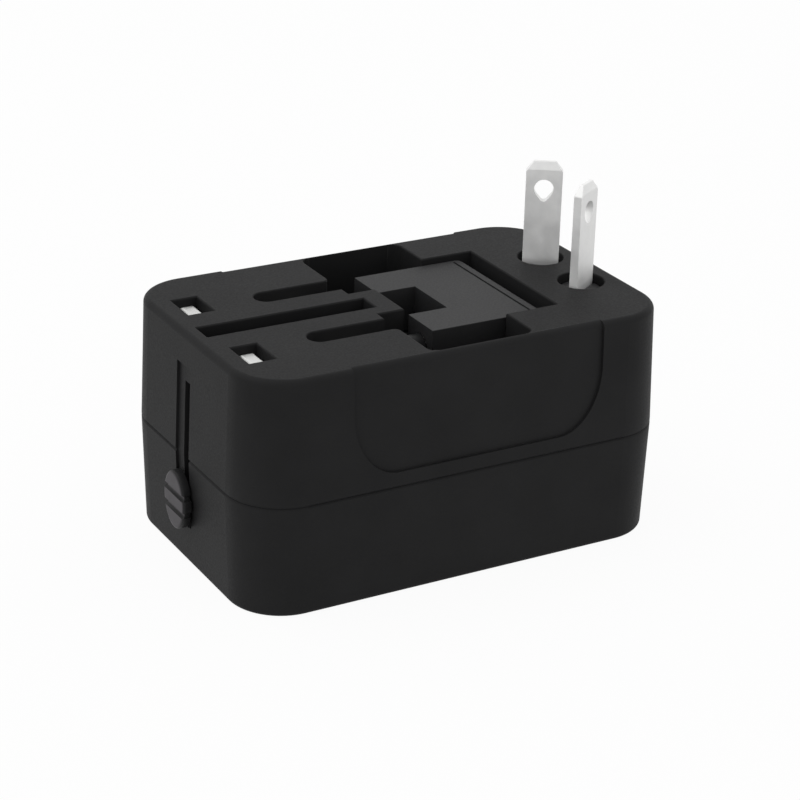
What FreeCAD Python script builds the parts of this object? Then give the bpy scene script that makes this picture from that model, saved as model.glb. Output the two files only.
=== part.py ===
# Travel plug adapter with a universal socket and two charging ports, in millimetres.
# Origin: centre of the flat socket face that it stands on. +Z points out of the pin face,
# +X points to the end with the two flat swivel blades, and -Y is the front long side.
import FreeCAD, Part
import math
import os

from FreeCAD import Vector

# Housing
body_length = 77.5
body_width = 49.6
lower_height = 19.0
upper_height = 21.0
lower_draft = 1.6
upper_draft = 1.9
corner_radius = 9.7
top_edge_radius = 1.1
bottom_edge_radius = 0.8
wall = 2.0
deck = 2.0
socket_face = 2.0
seam_bevel = 0.3
lip_height = 1.2
lip_thickness = 0.8
lip_root = 0.5

# Clearances
slide_clearance = 0.3
fit_clearance = 0.05
axle_clearance = 0.05
press_clearance = 0.03
lip_clearance = 0.1
over_cut = 1.0

# Grip panel in each long side
panel_length = 45.4
panel_offset = 1.5
panel_bottom_gap = 2.6
panel_depth = 0.5
panel_corner_width = 8.0
panel_corner_height = 11.0

# British pins: flat live and neutral pins that slide out, and a folding earth pin
uk_pin_inset = 6.75
uk_pin_spacing = 22.2
uk_pin_thickness = 4.0
uk_pin_width = 6.35
uk_pin_reach = 17.7
uk_pin_recess = 1.0
uk_pin_bevel = 1.0
uk_hole_margin = 0.25
uk_earth_offset = 22.2
uk_earth_reach = 22.7
uk_earth_height = 8.0
uk_earth_width = 3.9
uk_earth_sunk = 1.8
uk_earth_pivot_inset = 2.25
uk_earth_slot_margin = 0.2
uk_earth_slot_end_margin = 0.7
uk_earth_bevel = 1.0

# European pins on a folding U-shaped frame
eu_pin_spacing = 19.0
eu_pin_diameter = 4.0
eu_pin_length = 19.0
eu_pin_depth = 4.8
eu_pin_nose = 1.2
eu_pin_shank_diameter = 2.6
eu_pin_root = 4.7
eu_shank_end_gap = 4.0
eu_neck_diameter = 3.0
eu_sleeve_length = 9.0
eu_groove_margin = 0.15
eu_groove_end_margin = 1.4
groove_mouth_radius = 1.2
frame_earth_gap = 4.5
frame_carriage_gap = 6.6
frame_width = 26.4
frame_sunk = 0.95
frame_thickness = 7.65
frame_notch_length = 7.2
frame_notch_width = 10.6
frame_corner_radius = 2.0
frame_heel_bevel = 1.2
frame_hinge_radius = 1.2
frame_pivot_back = 1.3
frame_pivot_down = 1.35
hinge_pin_diameter = 1.6
hinge_pin_hold = 2.0
score_line_width = 0.4
score_line_depth = 0.3
score_line_inset = 2.2
score_line_length = 25.0

# Well that holds the frame, with a finger recess on each side
well_front_gap = 5.5
well_end_gap = 1.9
well_side_gap = 0.6
well_floor_gap = 0.4
well_floor_thickness = 1.6
finger_length = 18.8
finger_rim = 2.2
finger_corner_radius = 1.8
tongue_gap = 0.6
tongue_side_gap = 0.3
tub_wall = 1.2
barrier_half = 8.5

# Flat blades on turrets
blade_inset = 7.55
blade_spacing = 12.7
blade_width = 6.2
blade_thickness = 1.5
blade_reach = 17.2
blade_tilt = 32.0
blade_retract_depth = 0.5
blade_tip_flat = 3.7
blade_corner_height = 1.7
blade_bevel_height = 1.6
blade_bevel_depth = 0.45
blade_hole_radius = 1.65
blade_hole_toe_radius = 0.7
blade_hole_height = 12.4
blade_hole_toe_drop = 1.5
blade_foot_gap = 0.4
blade_tail_width = 2.4
turret_radius = 3.75
turret_hole_radius = 3.95
turret_sunk = 1.4
turret_flange_radius = 4.7
turret_flange_height = 1.6
turret_stub_radius = 2.0
turret_bevel = 0.3

# Slider buttons in their end tracks
track_y = 0.95
track_width = 5.0
track_depth = 0.45
track_end_gap = 5.4
track_slot_width = 2.7
track_slot_gap = 0.3
button_y = 0.8
button_width = 7.6
button_height = 10.1
button_proud = 1.5
button_gap = 0.2
button_low_z = 11.5
button_rib_pitch = 3.0
button_groove_radius = 0.55
button_notch_radius = 0.5
button_edge_radius = 0.5
button_track_cover = 1.0
web_far = 4.4
web_near = 1.3
hook_height = 1.3
hook_reach = 2.6

# Carriages
uk_carriage_side = 3.6
uk_carriage_width = 30.4
uk_tower_inner = 7.4
uk_bridge_height = 3.8
us_flange_side_gap = 0.15
us_flange_end_gap = 0.1
us_plate_height = 3.0
us_rim = 0.8
us_cover_height = 1.0
us_cover_gap = 0.6
guide_rib_inset = 2.5
guide_rib_width = 2.0

# Socket side
socket_line_x = -8.0
uk_aperture_x = 4.6
uk_aperture_y = 7.2
eu_aperture_radius = 2.5
us_aperture_x = 7.4
us_aperture_y = 2.2
au_spacing = 13.8
au_tilt = 30.0
earth_aperture_x = 8.6
earth_aperture_y = 4.6
us_earth_offset = 11.9
us_earth_radius = 2.6
dish_length = 38.0
dish_width = 34.0
dish_depth = 0.5
dish_corner_radius = 5.0

# Inner block with its contact cavities
core_gap_side = 3.0
core_gap_end = 1.9
component_space = 7.6
core_corner = 1.0
core_rest_width = 2.8
core_rest_inset = 2.0
cavity_roof = 2.0
line_cavity_x = 10.0
line_cavity_inner = 4.2
line_cavity_outer = 16.2
earth_cavity_x = 18.4
earth_cavity_width = 7.2
contact_sheet = 0.6
contact_margin = 0.4
contact_mouth_gap = 0.8
contact_tail = 2.0

# Shutter behind the socket face, with flat serpentine return springs
shutter_travel = 8.4
shutter_gap = 0.4
shutter_thickness = 1.8
shutter_pad_x = 8.8
shutter_pad_inner = 3.6
shutter_pad_outer = 15.2
shutter_bar = 3.0
shutter_rail_width = 1.2
shutter_lug_x = 1.8
shutter_ramp = 1.0
spring_strip = 0.5
spring_folds = 6
spring_side_gap = 0.4
spring_anchor = 1.5

# Charging electronics
board_above_core = 1.2
board_thickness = 1.2
board_end_gap = 3.0
board_side_gap = 1.3
board_corner_radius = 1.5
standoff_radius = 2.0
standoff_inset = 4.0
transformer_length = 13.0
transformer_width = 11.0
transformer_top_gap = 0.6
transformer_inset = 4.5
transformer_y = -13.5
transformer_limb = 2.6
transformer_yoke = 1.4
capacitor_radius = 3.1
capacitor_length = 11.0
capacitor_inset = 2.5
capacitor_spacing = 28.0
chip_size = (5.0, 4.0, 1.5)
chip_centre = (-3.0, 3.0)
fuse_radius = 2.6
fuse_tube_step = 0.15
fuse_length = 20.0
fuse_cap_length = 5.0
fuse_inset = 3.5
fuse_y = 15.0
fuse_lift = 0.8
clip_width = 3.0
clip_foot_width = 2.4
clip_mouth_height = 1.0
usb_inset = 7.65
usb_width = 13.1
usb_height = 5.7
usb_sheet = 0.3
usb_corner_radius = 0.6
usb_depth = 9.8
usb_sunk = 0.5
usb_panel_gap = 0.1
usb_tongue_width = 11.1
usb_tongue_thickness = 1.8
usb_tongue_gap = 0.5
usb_tongue_sunk = 0.8
usb_base_height = 1.2
usb_board_width = 8.6
usb_board_gap = 0.8
usb_board_thickness = 1.0

# Screws through the socket face
screw_inset_x = 5.75
screw_inset_y = 5.5
screw_boss_radius = 3.0
screw_radius = 1.1
screw_head_radius = 2.2
screw_head_height = 1.6
screw_head_sunk = 1.0
screw_head_gap = 0.1
screw_head_round = 0.5
screw_length = 26.0
screw_cross_width = 0.6
screw_cross_length = 2.6
screw_cross_depth = 1.0

# Thin sprung parts
leaf = 0.4
feed_width = 3.0
wiper_bow = 1.0
wiper_y = 3.5
rail_width = 4.0
detent_length = 8.0
detent_height = 8.0
uk_feed_height = 10.6
eu_feed_length = 10.0

# Places worked out from the sizes above
body_height = lower_height + upper_height
deck_bottom = body_height - deck
upper_inset = upper_height * math.tan(math.radians(upper_draft))
lower_inset = lower_height * math.tan(math.radians(lower_draft))
uk_pin_x = uk_pin_inset - body_length / 2
blade_x = body_length / 2 - blade_inset
usb_x = body_length / 2 - usb_inset
screw_x = body_length / 2 - screw_inset_x
screw_y = body_width / 2 - screw_inset_y
earth_right = uk_pin_x + uk_earth_offset + uk_earth_height / 2
us_carriage_side = turret_flange_radius + us_flange_end_gap
us_carriage_left = blade_x - us_carriage_side
us_carriage_right = blade_x + us_carriage_side
frame_tip_x = earth_right + frame_earth_gap
frame_rear_x = us_carriage_left - frame_carriage_gap
frame_notch_x = frame_tip_x + frame_notch_length
frame_top = body_height - frame_sunk
frame_bottom = frame_top - frame_thickness
frame_pivot_x = frame_rear_x - frame_pivot_back
frame_pivot_z = frame_top - frame_pivot_down
well_left = frame_tip_x - well_front_gap
well_step_x = well_left + finger_length
well_right = frame_rear_x + well_end_gap
well_half = frame_width / 2 + well_side_gap
well_floor = frame_bottom - well_floor_gap
well_underside = well_floor - well_floor_thickness
finger_half = body_width / 2 - finger_rim
tongue_end_x = frame_tip_x - tongue_gap
tongue_half = frame_notch_width / 2 - tongue_side_gap
hinge_half = well_half + hinge_pin_hold
eu_pin_z = body_height - eu_pin_depth
eu_pin_tip_x = frame_tip_x - eu_pin_length
eu_shoulder_x = frame_tip_x - eu_sleeve_length
groove_radius = eu_pin_diameter / 2 + eu_groove_margin
groove_bottom = eu_pin_z - groove_radius
hub_half = eu_pin_spacing / 2 - groove_radius
earth_top = body_height - uk_earth_sunk
earth_bottom = earth_top - uk_earth_height
earth_pivot_x = earth_right - uk_earth_pivot_inset
earth_pivot_z = earth_top - uk_earth_pivot_inset
earth_tip_x = earth_pivot_x - (body_height + uk_earth_reach - earth_pivot_z)
earth_slot_left = earth_tip_x - uk_earth_slot_end_margin
earth_slot_right = earth_right + uk_earth_slot_margin
earth_slot_half = uk_earth_width / 2 + uk_earth_slot_margin
earth_sweep = math.hypot(uk_earth_height - uk_earth_pivot_inset, uk_earth_pivot_inset)
earth_slot_floor = earth_pivot_z - earth_sweep - slide_clearance
earth_tub_bottom = earth_slot_floor - tub_wall
uk_travel = uk_pin_reach + uk_pin_recess
uk_tower_top = deck_bottom - slide_clearance - uk_travel
uk_bridge_top = earth_tub_bottom - slide_clearance - uk_travel
uk_bridge_bottom = uk_bridge_top - uk_bridge_height
uk_carriage_left = uk_pin_x - uk_carriage_side
uk_carriage_right = uk_pin_x + uk_carriage_side
us_carriage_width = blade_spacing + 2 * (turret_flange_radius + us_flange_side_gap + us_rim)
us_travel = blade_reach + blade_retract_depth
us_cover_top = deck_bottom - us_cover_gap
us_cover_bottom = us_cover_top - us_cover_height
us_flange_top = us_cover_bottom - fit_clearance
us_flange_bottom = us_flange_top - turret_flange_height
us_plate_top = us_flange_bottom - fit_clearance
us_plate_bottom = us_plate_top - us_plate_height
blade_tip_z = body_height + blade_reach
blade_foot_z = us_flange_bottom + blade_foot_gap
turret_top = body_height - turret_sunk
track_top = body_height - track_end_gap
button_high_z = button_low_z + uk_travel
uk_hook_bottom = button_low_z - web_far
us_hook_bottom = us_plate_bottom + us_plate_height / 2 - hook_height / 2
pad_inner = body_length / 2 + button_gap
pad_outer = pad_inner + button_proud
web_inner = body_length / 2 - wall
web_front = track_y - track_width / 2 + track_slot_gap / 2
web_back = web_front + track_slot_width - track_slot_gap
shutter_bottom = socket_face + shutter_gap
shutter_top = shutter_bottom + shutter_thickness
core_bottom = shutter_top + shutter_gap
board_top = well_underside - component_space
board_bottom = board_top - board_thickness
core_top = board_bottom - board_above_core
core_height = core_top - core_bottom
core_left = uk_carriage_right + slide_clearance
core_right = us_carriage_left - core_gap_end
core_half = body_width / 2 - core_gap_side
shutter_lug_outer = core_half - 2 * slide_clearance - shutter_rail_width
cavity_top = core_top - cavity_roof
line_left = socket_line_x - line_cavity_x / 2
line_right = socket_line_x + line_cavity_x / 2
socket_earth_x = socket_line_x + uk_earth_offset
earth_cavity_right = socket_earth_x + earth_aperture_x / 2 + contact_margin * 2
earth_cavity_left = earth_cavity_right - earth_cavity_x
board_left = core_left + board_end_gap
board_right = core_right - board_end_gap
board_half = core_half - board_side_gap
fuse_x = board_right - fuse_inset - fuse_length / 2
fuse_axis_z = board_top + fuse_radius + fuse_lift
usb_y = (screw_y - screw_boss_radius) / 2
usb_board_half = screw_y - screw_boss_radius - usb_board_gap
usb_board_bottom = usb_sunk + usb_depth


def block(x0, x1, y0, y1, z0, z1):
    """Box between the given coordinates."""
    return Part.makeBox(x1 - x0, y1 - y0, z1 - z0, Vector(x0, y0, z0))


def centred(x, y, size_x, size_y, z0, z1):
    """Box centred on an upright line through x, y."""
    return block(x - size_x / 2, x + size_x / 2, y - size_y / 2, y + size_y / 2, z0, z1)


def beside(x0, x1, side, inner, outer, z0, z1):
    """Box between two distances from the long centre plane, on the side +1 or -1."""
    y0, y1 = sorted((side * inner, side * outer))
    return block(x0, x1, y0, y1, z0, z1)


def rod(start, direction, radius, length):
    """Cylinder from a start point along a direction."""
    return Part.makeCylinder(radius, length, Vector(*start), Vector(*direction))


def post(x, y, z0, z1, radius):
    """Upright cylinder."""
    return rod((x, y, z0), (0, 0, 1), radius, z1 - z0)


def axle(x, z, half, radius):
    """Cylinder along Y, centred on the long centre plane."""
    return rod((x, -half, z), (0, 1, 0), radius, 2 * half)


def joined(shapes):
    """One solid from touching or overlapping shapes."""
    return shapes[0].fuse(shapes[1:]).removeSplitter()


def prism(points, direction):
    """Straight-sided solid: a closed outline of points, pushed along a direction."""
    outline = [Vector(*p) for p in points]
    face = Part.Face(Part.makePolygon(outline + outline[:1]))
    return face.extrude(Vector(*direction))


def rounded_wire(length, width, radius, z):
    """Rounded rectangle about the Z axis."""
    hx = length / 2
    hy = width / 2
    d = radius * math.sqrt(0.5)
    corners = [(1, 1), (-1, 1), (-1, -1), (1, -1)]
    arcs = []
    for sx, sy in corners:
        cx = sx * (hx - radius)
        cy = sy * (hy - radius)
        on_x = Vector(cx + sx * radius, cy, z)
        on_y = Vector(cx, cy + sy * radius, z)
        middle = Vector(cx + sx * d, cy + sy * d, z)
        start, end = (on_x, on_y) if sx == sy else (on_y, on_x)
        arcs.append((start, middle, end))
    edges = []
    for index, (start, middle, end) in enumerate(arcs):
        edges.append(Part.Arc(start, middle, end).toShape())
        next_start = arcs[(index + 1) % 4][0]
        edges.append(Part.LineSegment(end, next_start).toShape())
    return Part.Wire(Part.__sortEdges__(edges))


def tapered(z0, inset0, z1, inset1):
    """The housing's outline drawn in by inset0 at z0 and by inset1 at z1, as one solid."""
    wires = []
    for z, inset in ((z0, inset0), (z1, inset1)):
        wires.append(rounded_wire(body_length - 2 * inset, body_width - 2 * inset, corner_radius - inset, z))
    return Part.makeLoft(wires, True, True)


def rounded_block(x0, x1, y0, y1, z0, z1, radius):
    """Box with upright edges rounded."""
    wire = rounded_wire(x1 - x0, y1 - y0, radius, 0)
    wire.translate(Vector((x0 + x1) / 2, (y0 + y1) / 2, z0))
    return Part.Face(wire).extrude(Vector(0, 0, z1 - z0))


def turned(shape, centre, angle):
    """The shape turned about an upright axis through centre."""
    return shape.rotated(Vector(centre[0], centre[1], 0), Vector(0, 0, 1), angle)


def mirrored_pair(shape):
    """The shape and its mirror image across the long centre plane, as two solids in one."""
    return Part.makeCompound([shape, shape.mirror(Vector(0, 0, 0), Vector(0, 1, 0))])


def edges_at_height(shape, z):
    """Edges that lie flat at one height."""
    box_edges = [(edge, edge.BoundBox) for edge in shape.Edges]
    return [edge for edge, box in box_edges if abs(box.ZMin - z) < 1e-4 and abs(box.ZMax - z) < 1e-4]


def edges_at_x(shape, x):
    """Edges that lie in one plane across the length."""
    box_edges = [(edge, edge.BoundBox) for edge in shape.Edges]
    return [edge for edge, box in box_edges if abs(box.XMin - x) < 1e-4 and abs(box.XMax - x) < 1e-4]


def upright_edges(shape):
    """Straight edges along Z."""
    box_edges = [(edge, edge.BoundBox) for edge in shape.Edges]
    return [edge for edge, box in box_edges if box.XLength < 1e-4 and box.YLength < 1e-4]


def wall_ring(inset_outer, inset_inner, z0, z1):
    """Ring that follows the housing's wall between two insets."""
    outer = tapered(z0, inset_outer, z1, inset_outer)
    return outer.cut(tapered(z0 - over_cut, inset_inner, z1 + over_cut, inset_inner))


def screw_places():
    return [(sx * screw_x, sy * screw_y) for sx in (-1, 1) for sy in (-1, 1)]


def blade_centre(side):
    return (blade_x, side * blade_spacing / 2)


def track_cuts(end, rest_z, travel, web_low, web_high, hook_low):
    """Guide track in an end face: a shallow recess, the web's slot and the hook's deeper slot."""
    down = min(0, travel)
    up = max(0, travel)
    outside = end * (pad_inner + over_cut)
    recess_bottom = rest_z + down - button_height / 2 + button_track_cover
    slot_front = track_y - track_width / 2
    slot_back = slot_front + track_slot_width
    floor = body_length / 2 - track_depth
    low_floor = floor - (lower_height - recess_bottom) * math.tan(math.radians(lower_draft))
    high_floor = floor - (track_top - lower_height) * math.tan(math.radians(upper_draft))
    outline = [(outside, slot_front, recess_bottom), (end * low_floor, slot_front, recess_bottom),
               (end * floor, slot_front, lower_height), (end * high_floor, slot_front, track_top),
               (outside, slot_front, track_top)]
    cuts = [prism(outline, (0, track_width, 0))]
    slots = [(web_inner - lip_clearance, web_low, web_high)]
    slots.append((web_inner - wall / 2, hook_low, hook_low + hook_height))
    for inner, low, high in slots:
        x0, x1 = sorted((outside, end * inner))
        cuts.append(block(x0, x1, slot_front, slot_back, low + down - slide_clearance,
                          high + up + slide_clearance))
    return cuts


def uk_track_cuts():
    return track_cuts(-1, button_low_z, uk_travel, button_low_z - web_far, button_low_z + web_near,
                      uk_hook_bottom)


def us_track_cuts():
    return track_cuts(1, button_high_z, -us_travel, button_high_z - web_near,
                      us_hook_bottom + hook_height, us_hook_bottom)


def grip_panels():
    """Tool that sinks the shallow grip panel into both long sides."""
    left = panel_offset - panel_length / 2
    right = panel_offset + panel_length / 2
    low = lower_height + panel_bottom_gap
    high = body_height
    w = panel_corner_width
    h = panel_corner_height
    # Handle length that makes a Bezier corner follow an ellipse
    k = 0.5523

    def corner(x, side):
        poles = [(x, low + h), (x, low + h * (1 - k)), (x - side * w * (1 - k), low), (x - side * w, low)]
        curve = Part.BezierCurve()
        curve.setPoles([Vector(px, 0, pz) for px, pz in poles])
        return curve.toShape()

    def line(a, b):
        return Part.LineSegment(Vector(a[0], 0, a[1]), Vector(b[0], 0, b[1])).toShape()

    edges = [corner(left, -1), corner(right, 1)]
    edges.append(line((left + w, low), (right - w, low)))
    edges.append(line((right, low + h), (right, high)))
    edges.append(line((right, high), (left, high)))
    edges.append(line((left, high), (left, low + h)))
    outline = Part.Face(Part.Wire(Part.__sortEdges__(edges)))
    outline.translate(Vector(0, -body_width, 0))
    through = outline.extrude(Vector(0, 2 * body_width, 0))
    kept = tapered(lower_height, panel_depth, body_height, upper_inset + panel_depth)
    return through.cut(kept.makeFillet(top_edge_radius, edges_at_height(kept, body_height)))


def groove(side, bottom, margin, top):
    """Round-ended channel for one European pin, grown by a margin for its tub wall."""
    y = side * eu_pin_spacing / 2
    r = groove_radius + margin
    left = eu_pin_tip_x - eu_groove_end_margin + groove_radius
    end = post(left, y, bottom, top, r)
    return end.fuse(block(left, well_left + margin + lip_root, y - r, y + r, bottom, top))


def groove_mouth(side, top):
    """Tool that rounds the corner where a pin's channel opens into the finger recess."""
    r = groove_mouth_radius
    y = eu_pin_spacing / 2 + groove_radius
    corner = beside(well_left - r, well_left + over_cut, side, y - over_cut, y + r, groove_bottom, top)
    return corner.cut(post(well_left - r, side * (y + r), groove_bottom - over_cut, top + over_cut, r))


def well_tubs():
    """Walls and floors under the deck that hold the folded pins and the frame."""
    tub_half = earth_slot_half + tub_wall
    tubs = [block(earth_slot_left - tub_wall, tongue_end_x, -tub_half, tub_half,
                  earth_tub_bottom, deck_bottom)]
    tubs.append(block(earth_pivot_x - 2 * uk_earth_pivot_inset, tongue_end_x, -hub_half, hub_half,
                      well_underside, deck_bottom))
    for side in (-1, 1):
        tubs.append(groove(side, groove_bottom - tub_wall, tub_wall, deck_bottom))
    tubs.append(block(well_left - tub_wall, well_step_x + tub_wall, -body_width / 2, body_width / 2,
                      well_underside, deck_bottom))
    tubs.append(block(well_step_x, well_right + tub_wall, -hinge_half - tub_wall, hinge_half + tub_wall,
                      well_underside, deck_bottom))
    for side in (-1, 1):
        y = side * (us_carriage_width / 2 - guide_rib_inset)
        tubs.append(block(well_right, us_carriage_left - slide_clearance, y - guide_rib_width / 2,
                          y + guide_rib_width / 2, board_top + over_cut, deck_bottom))
    # Insulating wall between the blade carriage and the rest
    tubs.append(block(well_right, well_right + tub_wall, -barrier_half, barrier_half,
                      core_top + over_cut, deck_bottom))
    for x, y in screw_places():
        tubs.append(post(x, y, lower_height, deck_bottom, screw_boss_radius))
    return tubs


def well_cuts():
    """Everything that is open on the pin face."""
    above = body_height + over_cut
    wide = rounded_block(well_left, well_step_x, -finger_half, finger_half, well_floor, above,
                         finger_corner_radius)
    tongue = block(well_left - over_cut, tongue_end_x, -tongue_half, tongue_half, well_underside, above)
    cuts = [wide.cut(tongue)]
    cuts.append(block(well_step_x - over_cut, well_right, -well_half, well_half, well_floor, above))
    cuts.append(block(earth_slot_left, earth_slot_right, -earth_slot_half, earth_slot_half,
                      earth_slot_floor, above))
    for side in (-1, 1):
        cuts += [groove(side, groove_bottom, 0, above), groove_mouth(side, above)]
        cuts.append(centred(uk_pin_x, side * uk_pin_spacing / 2, uk_pin_thickness + 2 * uk_hole_margin,
                            uk_pin_width + 2 * uk_hole_margin, deck_bottom - over_cut, above))
        x, y = blade_centre(side)
        cuts.append(post(x, y, deck_bottom - over_cut, above, turret_hole_radius))
    pin_bore = hinge_pin_diameter / 2 + press_clearance
    cuts.append(axle(earth_pivot_x, earth_pivot_z, hub_half + over_cut, pin_bore))
    cuts.append(axle(frame_pivot_x, frame_pivot_z, hinge_half, pin_bore))
    return cuts


def uk_carriage_path():
    """Space that the carriage of the flat pins sweeps, with its clearance."""
    half = uk_carriage_width / 2 + slide_clearance
    return block(uk_carriage_left - slide_clearance, uk_carriage_right + slide_clearance, -half, half,
                 uk_bridge_bottom - slide_clearance, deck_bottom)


def us_carriage_path():
    """Space that the blade carriage sweeps, with its clearance."""
    half = us_carriage_width / 2 + slide_clearance
    return block(us_carriage_left - slide_clearance, us_carriage_right + slide_clearance, -half, half,
                 us_plate_bottom - us_travel - slide_clearance, deck_bottom)


def upper_shell():
    outer = tapered(lower_height, 0, body_height, upper_inset)
    outer = outer.makeFillet(top_edge_radius, edges_at_height(outer, body_height))
    outer = outer.makeChamfer(seam_bevel, edges_at_height(outer, lower_height))
    taper = math.tan(math.radians(upper_draft))
    cavity = tapered(lower_height - over_cut, wall - over_cut * taper, deck_bottom,
                     wall + (upper_height - deck) * taper)
    shell = outer.cut(cavity)
    shell = shell.fuse([tub.common(outer) for tub in well_tubs()])
    cuts = well_cuts() + uk_track_cuts() + us_track_cuts()
    cuts += [grip_panels(), uk_carriage_path(), us_carriage_path()]
    for x, y in screw_places():
        cuts.append(post(x, y, lower_height - over_cut, screw_head_sunk + screw_length + over_cut,
                         screw_radius + fit_clearance))
    cuts.append(wall_ring(wall - lip_thickness - lip_clearance, wall + lip_clearance,
                          lower_height - over_cut, lower_height + lip_height + lip_clearance))
    return shell.cut(cuts)


def line_aperture(side, z0, z1):
    """Joined opening for one live or neutral pin of every standard."""
    x = socket_line_x
    parts = [centred(x, side * uk_pin_spacing / 2, uk_aperture_x, uk_aperture_y, z0, z1)]
    parts.append(post(x, side * eu_pin_spacing / 2, z0, z1, eu_aperture_radius))
    for spacing, tilt in ((blade_spacing, 0), (au_spacing, side * au_tilt)):
        y = side * spacing / 2
        slot = centred(x, y, us_aperture_x, us_aperture_y, z0, z1)
        parts.append(turned(slot, (x, y), tilt))
    return parts


def earth_apertures(z0, z1):
    slot = centred(socket_earth_x, 0, earth_aperture_x, earth_aperture_y, z0, z1)
    return [slot, post(socket_line_x + us_earth_offset, 0, z0, z1, us_earth_radius)]


def shell_ribs():
    """Rests of the inner block, anchors and rails of the shutter, and screw bosses."""
    rest_half = core_half - core_rest_inset
    rail_inner = shutter_lug_outer + slide_clearance
    anchor_right = core_left + core_rest_width + spring_anchor
    ribs = [block(core_right - core_rest_width, core_right, -rest_half, rest_half, socket_face, core_bottom)]
    ribs.append(block(core_left, core_left + core_rest_width, -rest_half, rest_half,
                      socket_face, core_bottom))
    for side in (-1, 1):
        ribs.append(beside(core_left, anchor_right, side, shutter_pad_outer + slide_clearance,
                           core_half - slide_clearance, socket_face, core_bottom))
        ribs.append(beside(core_left, core_right, side, rail_inner, core_half - slide_clearance,
                           socket_face, core_bottom))
    for x, y in screw_places():
        ribs.append(post(x, y, socket_face, lower_height, screw_boss_radius))
    return ribs


def lower_shell():
    outer = tapered(0, lower_inset, lower_height, 0)
    outer = outer.makeFillet(bottom_edge_radius, edges_at_height(outer, 0))
    outer = outer.makeChamfer(seam_bevel, edges_at_height(outer, lower_height))
    taper = math.tan(math.radians(lower_draft))
    cavity = tapered(socket_face, wall + (lower_height - socket_face) * taper,
                     lower_height + over_cut, wall - over_cut * taper)
    shell = outer.cut(cavity)
    shell = shell.fuse([rib.common(outer) for rib in shell_ribs()])
    shell = shell.fuse(wall_ring(wall - lip_thickness, wall, lower_height - lip_root,
                                 lower_height + lip_height))
    below = -over_cut
    through = socket_face + lip_clearance
    cuts = uk_track_cuts() + us_track_cuts()
    cuts += [uk_carriage_path(), us_carriage_path()]
    dish_x = (socket_line_x + socket_earth_x) / 2
    cuts.append(rounded_block(dish_x - dish_length / 2, dish_x + dish_length / 2, -dish_width / 2,
                              dish_width / 2, below, dish_depth, dish_corner_radius))
    cuts += earth_apertures(below, through)
    for side in (-1, 1):
        cuts += line_aperture(side, below, through)
        cuts.append(centred(usb_x, side * usb_y, usb_height + 2 * usb_panel_gap,
                            usb_width + 2 * usb_panel_gap, below, through))
    for x, y in screw_places():
        cuts.append(post(x, y, below, screw_head_sunk + screw_head_height,
                         screw_head_radius + screw_head_gap))
        cuts.append(post(x, y, below, lower_height + over_cut, screw_radius + fit_clearance))
    return shell.cut(cuts)


def contact_tail_slot(x, y):
    margin = 2 * fit_clearance
    return centred(x, y, contact_sheet + margin, contact_tail + margin, core_bottom, core_top + over_cut)


def socket_core():
    core = block(core_left, core_right, -core_half, core_half, core_bottom, core_top)
    core = core.makeChamfer(core_corner, upright_edges(core))
    for x in (board_left + standoff_inset, board_right - standoff_inset):
        for y in (standoff_inset - board_half, board_half - standoff_inset):
            core = core.fuse(post(x, y, core_top, board_bottom, standoff_radius))
    below = core_bottom - over_cut
    cuts = [contact_tail_slot(socket_earth_x, 0)]
    for side in (-1, 1):
        cuts.append(beside(line_left, line_right, side, line_cavity_inner, line_cavity_outer,
                           below, cavity_top))
        cuts.append(contact_tail_slot(socket_line_x, side * uk_pin_spacing / 2))
    cuts.append(block(earth_cavity_left, earth_cavity_right, -earth_cavity_width / 2,
                      earth_cavity_width / 2, below, cavity_top))
    cuts.append(detent_plate(fit_clearance))
    return core.cut(cuts)


def tail(x, y):
    """Solder tail from a socket contact up to the board."""
    return centred(x, y, contact_sheet, contact_tail, cavity_top - contact_sheet, board_bottom)


def line_contact(side):
    """Folded spring channel that grips a live or neutral pin of any standard."""
    inner = line_cavity_inner + contact_margin
    outer = line_cavity_outer - contact_margin
    low = core_bottom + contact_mouth_gap
    x0 = line_left + contact_margin
    x1 = line_right - contact_margin
    sheets = [beside(x0, x1, side, inner, outer, cavity_top - contact_sheet, cavity_top)]
    sheets.append(beside(x0, x0 + contact_sheet, side, inner, outer, low, cavity_top))
    sheets.append(beside(x1 - contact_sheet, x1, side, inner, outer, low, cavity_top))
    sheets.append(tail(socket_line_x, side * uk_pin_spacing / 2))
    return joined(sheets)


def earth_contact():
    """Spring channel that grips an earth pin from both sides."""
    low = core_bottom + contact_mouth_gap
    x0 = earth_cavity_left + contact_margin
    x1 = earth_cavity_right - contact_margin
    half = earth_cavity_width / 2 - contact_margin
    sheets = [block(x0, x1, -half, half, cavity_top - contact_sheet, cavity_top)]
    for side in (-1, 1):
        sheets.append(beside(x0, x1, side, half - contact_sheet, half, low, cavity_top))
    sheets.append(tail(socket_earth_x, 0))
    return joined(sheets)


def safety_shutter():
    """Sliding plate with a pad over each live and neutral aperture."""
    left = socket_line_x - shutter_pad_x / 2
    right = socket_line_x + shutter_pad_x / 2
    z0 = shutter_bottom
    z1 = shutter_top
    parts = [block(left, left + shutter_bar, -shutter_pad_inner, shutter_pad_inner, z0, z1)]
    for side in (-1, 1):
        parts.append(beside(left, right, side, shutter_pad_inner, shutter_pad_outer, z0, z1))
        parts.append(beside(left, left + shutter_lug_x, side, shutter_pad_outer, shutter_lug_outer, z0, z1))
    shutter = joined(parts)
    ramps = [edge for edge in edges_at_x(shutter, right) if edge.BoundBox.ZMax < z0 + 1e-4]
    return shutter.makeChamfer(shutter_ramp, ramps)


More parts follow.
